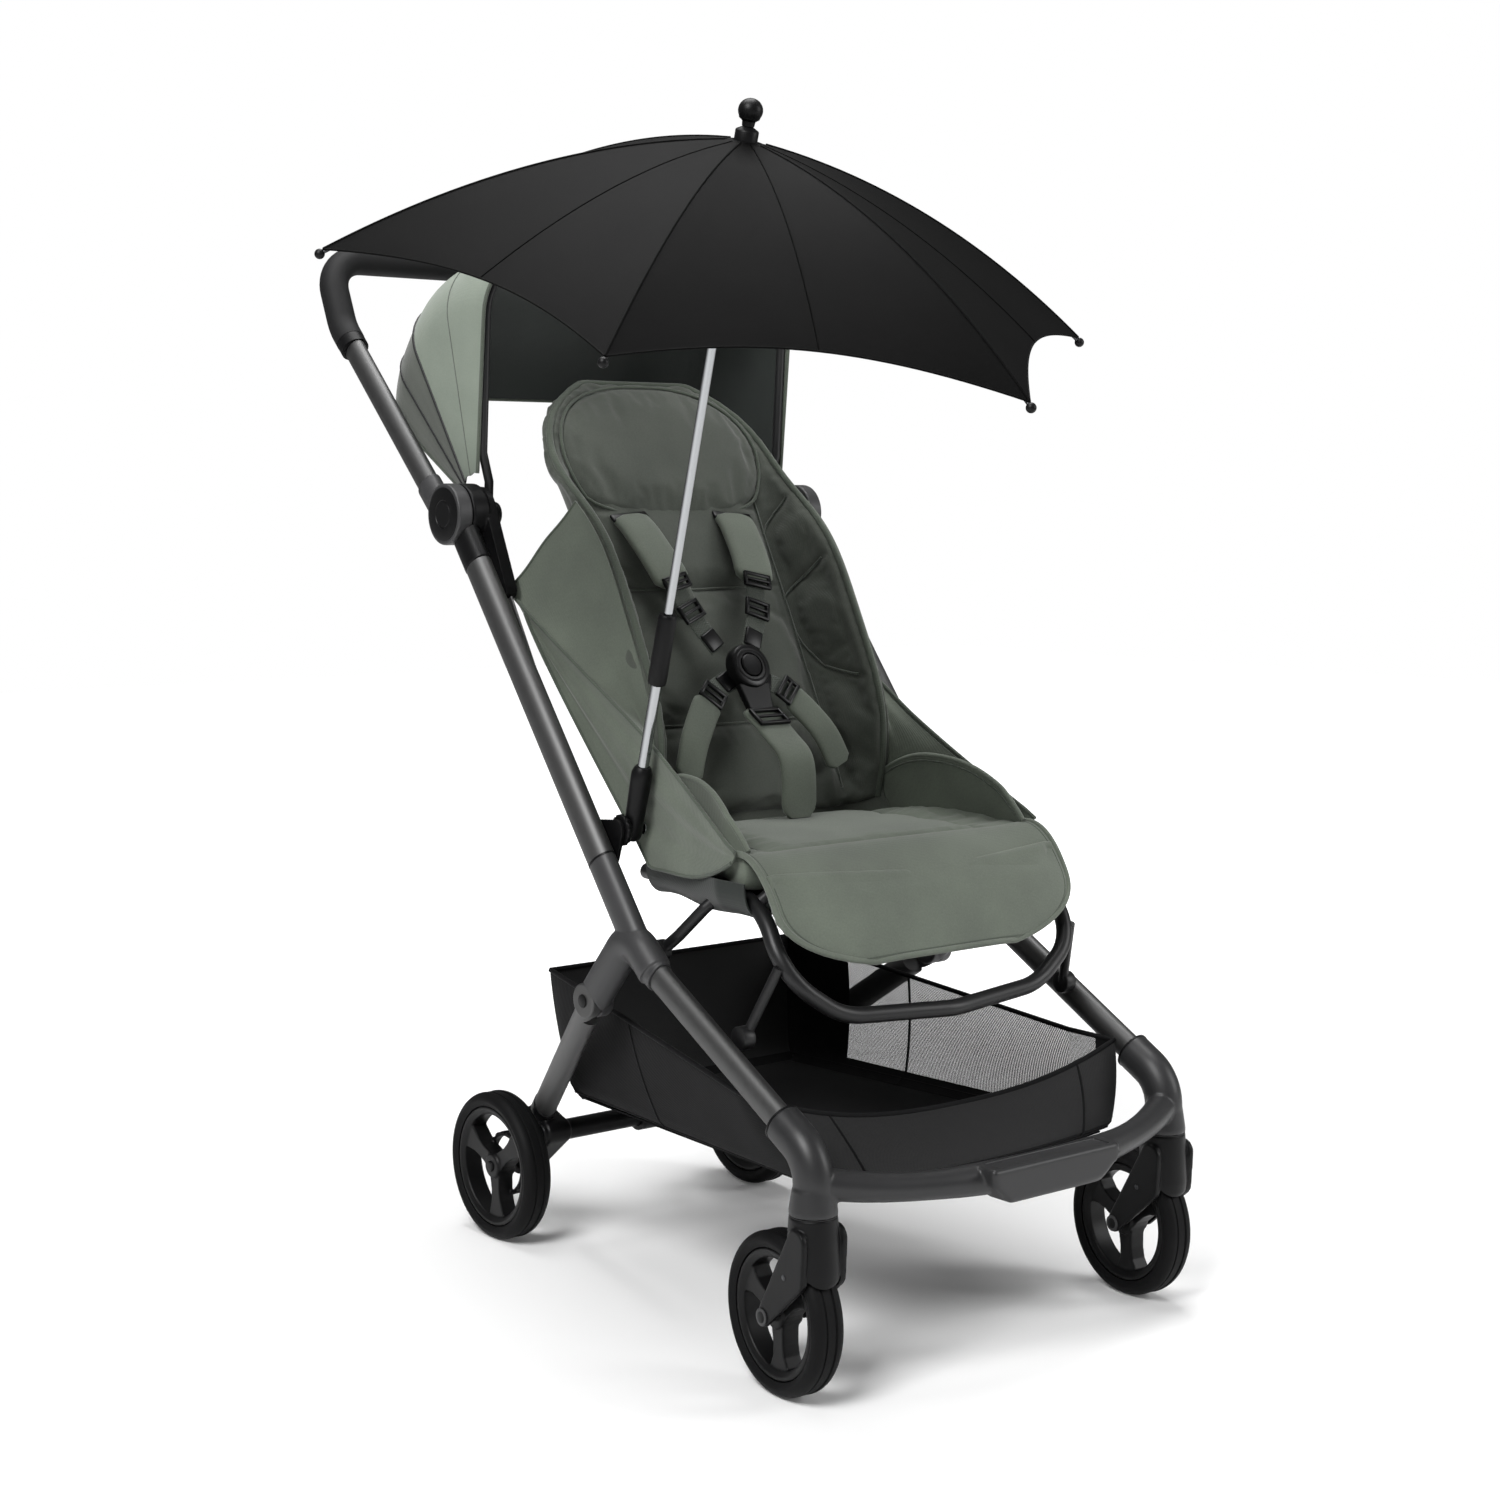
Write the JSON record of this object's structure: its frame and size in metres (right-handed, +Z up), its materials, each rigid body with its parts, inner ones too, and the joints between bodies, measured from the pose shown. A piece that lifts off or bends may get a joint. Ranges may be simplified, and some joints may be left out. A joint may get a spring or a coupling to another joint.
{
  "type": "stroller",
  "caption": "Compact folding stroller with a reclining padded seat, five-point harness, hood, storage basket and a clamp-on parasol.",
  "frame": {"origin": "on the floor in the middle plane, straight below the rear axle", "axes": "+Z up, -Y to the front, +X to the seated child's left"},
  "size_m": [0.7536, 0.9868, 1.0782],
  "materials": {
    "frame_tube": "satin anodised dark grey",
    "moulding": "satin moulded dark grey",
    "black_plastic": "fine-textured black",
    "grip": "soft-touch black",
    "seat_tube": "black powder coat",
    "liner_cloth": "matt woven green-grey",
    "sage_cloth": "matt woven sage",
    "webbing": "ribbed webbing",
    "basket_cloth": "black cloth and net",
    "parasol_cloth": "black taffeta",
    "chrome_tube": "polished",
    "rib_steel": "dark plated",
    "tyre": "matt black",
    "rim": "satin black"
  },
  "bodies": {
    "main_frame": {"side_tube_right": "frame_tube", "leg_joint_right": "moulding", "front_tube_right": "frame_tube", "hub_housing_right": "black_plastic", "link_bar_right": "frame_tube", "side_panel_right": "sage_cloth", "side_tube_left": "frame_tube", "leg_joint_left": "moulding", "front_tube_left": "frame_tube", "hub_housing_left": "black_plastic", "link_bar_left": "frame_tube", "side_panel_left": "sage_cloth", "front_crossbar": "moulding", "seat_frame": "seat_tube", "seat_cushion": "liner_cloth", "canopy_fabric": "sage_cloth", "basket": "basket_cloth", "parasol_bracket": "black_plastic"},
    "handle": {"handle_tube_right": "frame_tube", "handle_tube_left": "frame_tube", "handlebar": "grip"},
    "fold_button": {"fold_button": "moulding"},
    "rear_frame": {"rear_leg_right": "frame_tube", "rear_leg_left": "frame_tube", "rear_crossbar": "moulding"},
    "brake_pedal": {"brake_pedal": "black_plastic"},
    "rear_wheel_right": {"rear_tyre_right": "tyre", "rear_rim_right": "rim"},
    "rear_wheel_left": {"rear_tyre_left": "tyre", "rear_rim_left": "rim"},
    "caster_right": {"caster_fork_right": "moulding"},
    "caster_left": {"caster_fork_left": "moulding"},
    "front_wheel_right": {"front_tyre_right": "tyre", "front_rim_right": "rim"},
    "front_wheel_left": {"front_tyre_left": "tyre", "front_rim_left": "rim"},
    "backrest": {"backrest_frame": "seat_tube", "backrest_cushion": "liner_cloth", "harness_straps": "webbing", "harness_buckle": "black_plastic"},
    "leg_rest": {"leg_rest": "sage_cloth"},
    "hood_bow": {"canopy_bow": "seat_tube"},
    "buckle_button": {"buckle_button": "black_plastic"},
    "parasol_knob": {"parasol_knob": "black_plastic"},
    "parasol_lower": {"parasol_grip": "black_plastic"},
    "parasol_upper": {"parasol_shaft": "chrome_tube", "parasol_canopy": "parasol_cloth"},
    "parasol_runner": {"parasol_runner": "black_plastic"},
    "parasol_rib_1": {"parasol_rib_1": "rib_steel"},
    "parasol_stretcher_1": {"parasol_stretcher_1": "rib_steel"},
    "parasol_rib_2": {"parasol_rib_2": "rib_steel"},
    "parasol_stretcher_2": {"parasol_stretcher_2": "rib_steel"},
    "parasol_rib_3": {"parasol_rib_3": "rib_steel"},
    "parasol_stretcher_3": {"parasol_stretcher_3": "rib_steel"},
    "parasol_rib_4": {"parasol_rib_4": "rib_steel"},
    "parasol_stretcher_4": {"parasol_stretcher_4": "rib_steel"},
    "parasol_rib_5": {"parasol_rib_5": "rib_steel"},
    "parasol_stretcher_5": {"parasol_stretcher_5": "rib_steel"},
    "parasol_rib_6": {"parasol_rib_6": "rib_steel"},
    "parasol_stretcher_6": {"parasol_stretcher_6": "rib_steel"}
  },
  "joints": [
    {"name": "handle_fold", "type": "hinge", "parent": "main_frame", "child": "handle", "pos_m": [0, -0.011, 0.735], "axis": [1, 0, 0], "range_deg": [0, 50]},
    {"name": "fold_button_press", "type": "slide", "parent": "handle", "child": "fold_button", "axis": [0, 0.7211, 0.6928], "range_m": [0, 0.003], "stiffness_N_per_m": 400, "springref_m": -0.002},
    {"name": "rear_leg_fold", "type": "hinge", "parent": "main_frame", "child": "rear_frame", "pos_m": [0, -0.24, 0.292], "axis": [1, 0, 0], "range_deg": [0, 48]},
    {"name": "brake_pedal_press", "type": "hinge", "parent": "rear_frame", "child": "brake_pedal", "pos_m": [0, -0.052, 0.115], "axis": [1, 0, 0], "range_deg": [-14, 0], "stiffness_Nm_per_rad": 0.4, "springref_deg": 5.73},
    {"name": "rear_wheel_right_spin", "type": "hinge", "parent": "rear_frame", "child": "rear_wheel_right", "pos_m": [-0.163, 0, 0.075], "axis": [1, 0, 0], "continuous": true},
    {"name": "rear_wheel_left_spin", "type": "hinge", "parent": "rear_frame", "child": "rear_wheel_left", "pos_m": [0.163, 0, 0.075], "axis": [1, 0, 0], "continuous": true},
    {"name": "caster_right_swivel", "type": "hinge", "parent": "main_frame", "child": "caster_right", "pos_m": [-0.2115, -0.557, 0.165], "axis": [0, 0, 1], "continuous": true},
    {"name": "front_wheel_right_spin", "type": "hinge", "parent": "caster_right", "child": "front_wheel_right", "pos_m": [-0.20784, -0.51516, 0.07], "axis": [0.9962, -0.0872, 0], "continuous": true},
    {"name": "caster_left_swivel", "type": "hinge", "parent": "main_frame", "child": "caster_left", "pos_m": [0.2115, -0.557, 0.165], "axis": [0, 0, 1], "continuous": true},
    {"name": "front_wheel_left_spin", "type": "hinge", "parent": "caster_left", "child": "front_wheel_left", "pos_m": [0.21516, -0.51516, 0.07], "axis": [0.9962, -0.0872, 0], "continuous": true},
    {"name": "backrest_recline", "type": "hinge", "parent": "main_frame", "child": "backrest", "pos_m": [0, -0.226, 0.412], "axis": [1, 0, 0], "range_deg": [-35, 0], "deforming": ["harness_straps"]},
    {"name": "leg_rest_raise", "type": "hinge", "parent": "main_frame", "child": "leg_rest", "pos_m": [0, -0.4335, 0.4165], "axis": [-1, 0, 0], "range_deg": [0, 50]},
    {"name": "hood_open", "type": "hinge", "parent": "main_frame", "child": "hood_bow", "pos_m": [0, -0.011, 0.735], "axis": [1, 0, 0], "range_deg": [0, 80], "deforming": ["canopy_fabric"]},
    {"name": "buckle_button_press", "type": "slide", "parent": "backrest", "child": "buckle_button", "axis": [0, 0.8913, -0.4535], "range_m": [0, 0.0025], "stiffness_N_per_m": 300, "springref_m": -0.002},
    {"name": "parasol_knob_turn", "type": "hinge", "parent": "main_frame", "child": "parasol_knob", "pos_m": [-0.18, -0.2597, 0.4498], "axis": [1, 0, 0], "range_deg": [-90, 90]},
    {"name": "parasol_tilt", "type": "hinge", "parent": "main_frame", "child": "parasol_lower", "pos_m": [-0.18, -0.2597, 0.4498], "axis": [1, 0, 0], "range_deg": [0, 35]},
    {"name": "parasol_height", "type": "slide", "parent": "parasol_lower", "child": "parasol_upper", "axis": [0.0233, 0.2984, -0.9542], "range_m": [0, 0.12]},
    {"name": "parasol_runner_slide", "type": "slide", "parent": "parasol_upper", "child": "parasol_runner", "axis": [0.0233, 0.2984, -0.9542], "range_m": [0, 0.15258], "deforming": ["parasol_canopy"]},
    {"name": "parasol_rib_1_fold", "type": "hinge", "parent": "parasol_upper", "child": "parasol_rib_1", "pos_m": [-0.20428, -0.441, 1.04195], "axis": [-0.3515, -0.8911, -0.2872], "range_deg": [0, 64]},
    {"name": "parasol_stretcher_1_fold", "type": "hinge", "parent": "parasol_rib_1", "child": "parasol_stretcher_1", "pos_m": [-0.30698, -0.39506, 1.0251], "axis": [-0.3515, -0.8911, -0.2872], "range_deg": [-117.88, 0]},
    {"name": "parasol_rib_2_fold", "type": "hinge", "parent": "parasol_upper", "child": "parasol_rib_2", "pos_m": [-0.20256, -0.4509, 1.0389], "axis": [0.6348, -0.7417, -0.2164], "range_deg": [0, 64]},
    {"name": "parasol_stretcher_2_fold", "type": "hinge", "parent": "parasol_rib_2", "child": "parasol_stretcher_2", "pos_m": [-0.2872, -0.50905, 0.98994], "axis": [0.6348, -0.7417, -0.2164], "range_deg": [-117.88, 0]},
    {"name": "parasol_rib_3_fold", "type": "hinge", "parent": "parasol_upper", "child": "parasol_rib_3", "pos_m": [-0.19273, -0.45449, 1.03801], "axis": [0.9863, 0.1493, 0.0708], "range_deg": [0, 64]},
    {"name": "parasol_stretcher_3_fold", "type": "hinge", "parent": "parasol_rib_3", "child": "parasol_stretcher_3", "pos_m": [-0.17403, -0.55041, 0.97977], "axis": [0.9863, 0.1493, 0.0708], "range_deg": [-117.88, 0]},
    {"name": "parasol_rib_4_fold", "type": "hinge", "parent": "parasol_upper", "child": "parasol_rib_4", "pos_m": [-0.18462, -0.44819, 1.04018], "axis": [0.3515, 0.8911, 0.2872], "range_deg": [0, 64]},
    {"name": "parasol_stretcher_4_fold", "type": "hinge", "parent": "parasol_rib_4", "child": "parasol_stretcher_4", "pos_m": [-0.08064, -0.47778, 1.00476], "axis": [0.3515, 0.8911, 0.2872], "range_deg": [-117.88, 0]},
    {"name": "parasol_rib_5_fold", "type": "hinge", "parent": "parasol_upper", "child": "parasol_rib_5", "pos_m": [-0.18634, -0.43829, 1.04324], "axis": [-0.6348, 0.7417, 0.2164], "range_deg": [0, 64]},
    {"name": "parasol_stretcher_5_fold", "type": "hinge", "parent": "parasol_rib_5", "child": "parasol_stretcher_5", "pos_m": [-0.10042, -0.36379, 1.03993], "axis": [-0.6348, 0.7417, 0.2164], "range_deg": [-117.88, 0]},
    {"name": "parasol_rib_6_fold", "type": "hinge", "parent": "parasol_upper", "child": "parasol_rib_6", "pos_m": [-0.19617, -0.4347, 1.04412], "axis": [-0.9863, -0.1493, -0.0708], "range_deg": [0, 64]},
    {"name": "parasol_stretcher_6_fold", "type": "hinge", "parent": "parasol_rib_6", "child": "parasol_stretcher_6", "pos_m": [-0.21359, -0.32243, 1.0501], "axis": [-0.9863, -0.1493, -0.0708], "range_deg": [-117.88, 0]}
  ],
  "couplings": [
    {"joint": "handle_fold", "follows": "rear_leg_fold", "ratio": 1.0416},
    {"joint": "parasol_rib_1_fold", "follows": "parasol_runner_slide", "rad_per_m": 7.3202},
    {"joint": "parasol_stretcher_1_fold", "follows": "parasol_runner_slide", "rad_per_m": -13.483},
    {"joint": "parasol_rib_2_fold", "follows": "parasol_runner_slide", "rad_per_m": 7.3202},
    {"joint": "parasol_stretcher_2_fold", "follows": "parasol_runner_slide", "rad_per_m": -13.483},
    {"joint": "parasol_rib_3_fold", "follows": "parasol_runner_slide", "rad_per_m": 7.3202},
    {"joint": "parasol_stretcher_3_fold", "follows": "parasol_runner_slide", "rad_per_m": -13.483},
    {"joint": "parasol_rib_4_fold", "follows": "parasol_runner_slide", "rad_per_m": 7.3202},
    {"joint": "parasol_stretcher_4_fold", "follows": "parasol_runner_slide", "rad_per_m": -13.483},
    {"joint": "parasol_rib_5_fold", "follows": "parasol_runner_slide", "rad_per_m": 7.3202},
    {"joint": "parasol_stretcher_5_fold", "follows": "parasol_runner_slide", "rad_per_m": -13.483},
    {"joint": "parasol_rib_6_fold", "follows": "parasol_runner_slide", "rad_per_m": 7.3202},
    {"joint": "parasol_stretcher_6_fold", "follows": "parasol_runner_slide", "rad_per_m": -13.483}
  ]
}
